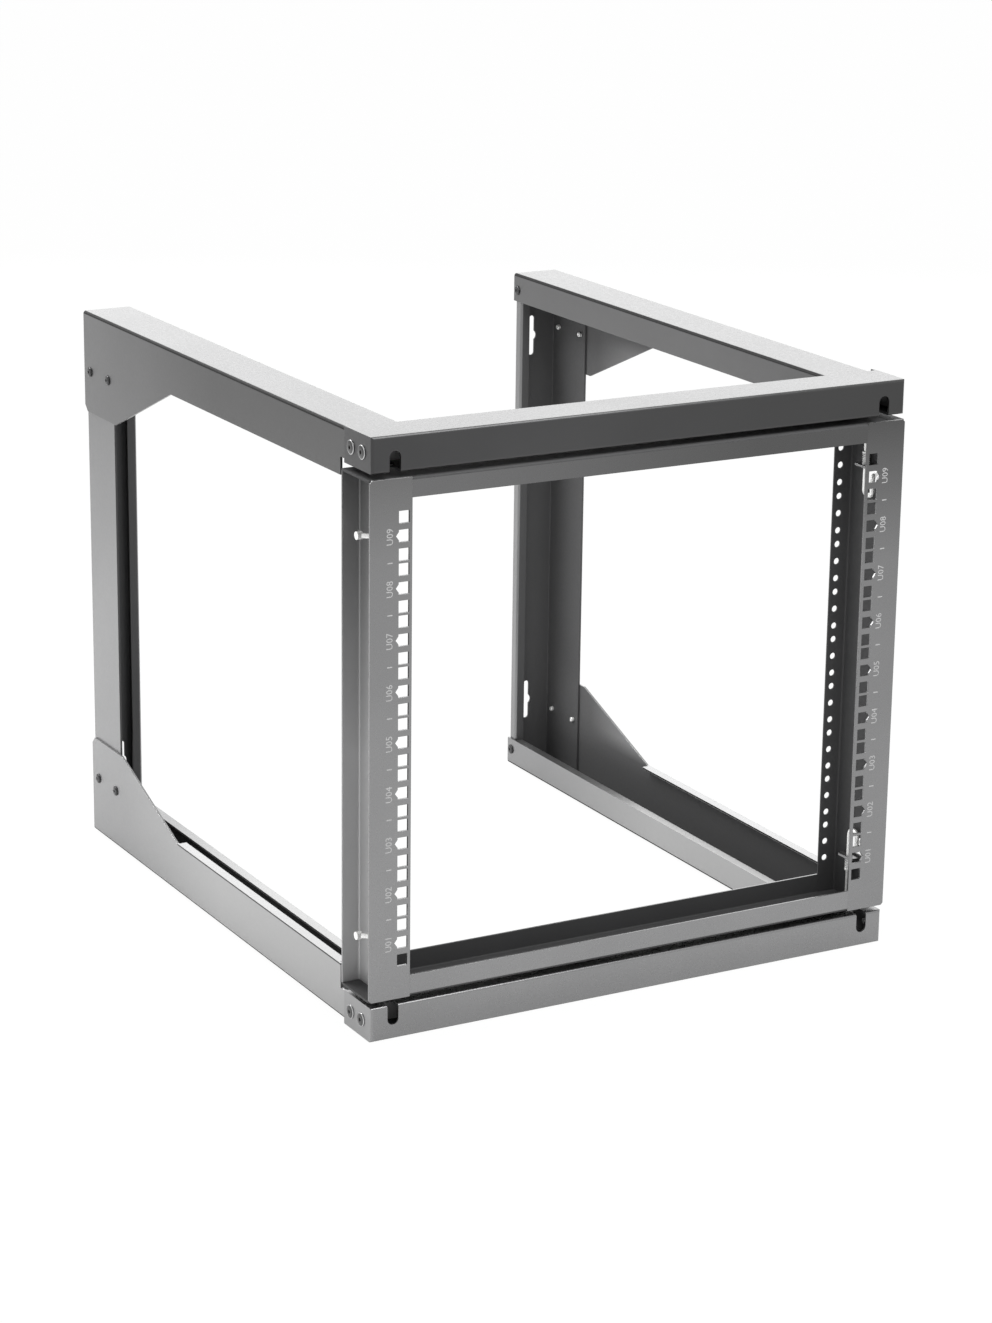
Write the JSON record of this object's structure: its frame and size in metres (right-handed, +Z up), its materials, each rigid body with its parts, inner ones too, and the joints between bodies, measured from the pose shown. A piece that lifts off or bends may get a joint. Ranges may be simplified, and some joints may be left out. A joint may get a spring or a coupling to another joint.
{
  "type": "wall mount rack",
  "caption": "Open frame wall rack with gusseted arms and a swing gate held by spring pins, for 19 inch equipment.",
  "frame": {"origin": "on the flat back face of the left wall post, at the middle of its width and height, on the wall plane", "axes": "+X to the right seen from the front, +Y back into the wall, +Z up"},
  "size_m": [0.528, 0.61, 0.527],
  "materials": {
    "black_paint": "satin black powder coat",
    "zinc": "zinc plated",
    "spring_steel": "bright",
    "bushing": "matt"
  },
  "bodies": {
    "frame": {"left_wall_post": "black_paint", "right_wall_post": "black_paint", "upper_left_arm": "black_paint", "upper_right_arm": "black_paint", "lower_left_arm": "black_paint", "lower_right_arm": "black_paint", "top_crossbar": "black_paint", "bottom_crossbar": "black_paint", "upper_hinge_bushing": "bushing", "lower_hinge_bushing": "bushing"},
    "gate": {"gate_left_rail": "black_paint", "gate_right_rail": "black_paint", "gate_left_rear_angle": "black_paint", "gate_right_rear_angle": "black_paint", "gate_left_side_angle": "black_paint", "gate_right_side_angle": "black_paint", "gate_top_bar": "black_paint", "gate_bottom_bar": "black_paint", "upper_left_pin_guide": "black_paint", "upper_right_pin_guide": "black_paint", "lower_left_pin_guide": "black_paint", "lower_right_pin_guide": "black_paint", "upper_left_pin_spring": "spring_steel", "upper_right_pin_spring": "spring_steel", "lower_left_pin_spring": "spring_steel", "lower_right_pin_spring": "spring_steel"},
    "upper_left_pin": {"upper_left_pin": "zinc", "upper_left_pin_clip": "zinc"},
    "upper_right_pin": {"upper_right_pin": "zinc", "upper_right_pin_clip": "zinc"},
    "lower_left_pin": {"lower_left_pin": "zinc", "lower_left_pin_clip": "zinc"},
    "lower_right_pin": {"lower_right_pin": "zinc", "lower_right_pin_clip": "zinc"}
  },
  "joints": [
    {"name": "gate_swing", "type": "hinge", "parent": "frame", "child": "gate", "pos_m": [-0.0045, -0.5875, 0], "axis": [0, 0, -1], "range_deg": [0, 180]},
    {"name": "upper_left_pin_slide", "type": "slide", "parent": "gate", "child": "upper_left_pin", "axis": [0, 0, -1], "range_m": [0, 0.006], "stiffness_N_per_m": 300, "springref_m": -0.005, "deforming": ["upper_left_pin_spring"]},
    {"name": "upper_right_pin_slide", "type": "slide", "parent": "gate", "child": "upper_right_pin", "axis": [0, 0, -1], "range_m": [0, 0.006], "stiffness_N_per_m": 300, "springref_m": -0.005, "deforming": ["upper_right_pin_spring"]},
    {"name": "lower_left_pin_slide", "type": "slide", "parent": "gate", "child": "lower_left_pin", "axis": [0, 0, 1], "range_m": [0, 0.006], "stiffness_N_per_m": 300, "springref_m": -0.005, "deforming": ["lower_left_pin_spring"]},
    {"name": "lower_right_pin_slide", "type": "slide", "parent": "gate", "child": "lower_right_pin", "axis": [0, 0, 1], "range_m": [0, 0.006], "stiffness_N_per_m": 300, "springref_m": -0.005, "deforming": ["lower_right_pin_spring"]}
  ]
}
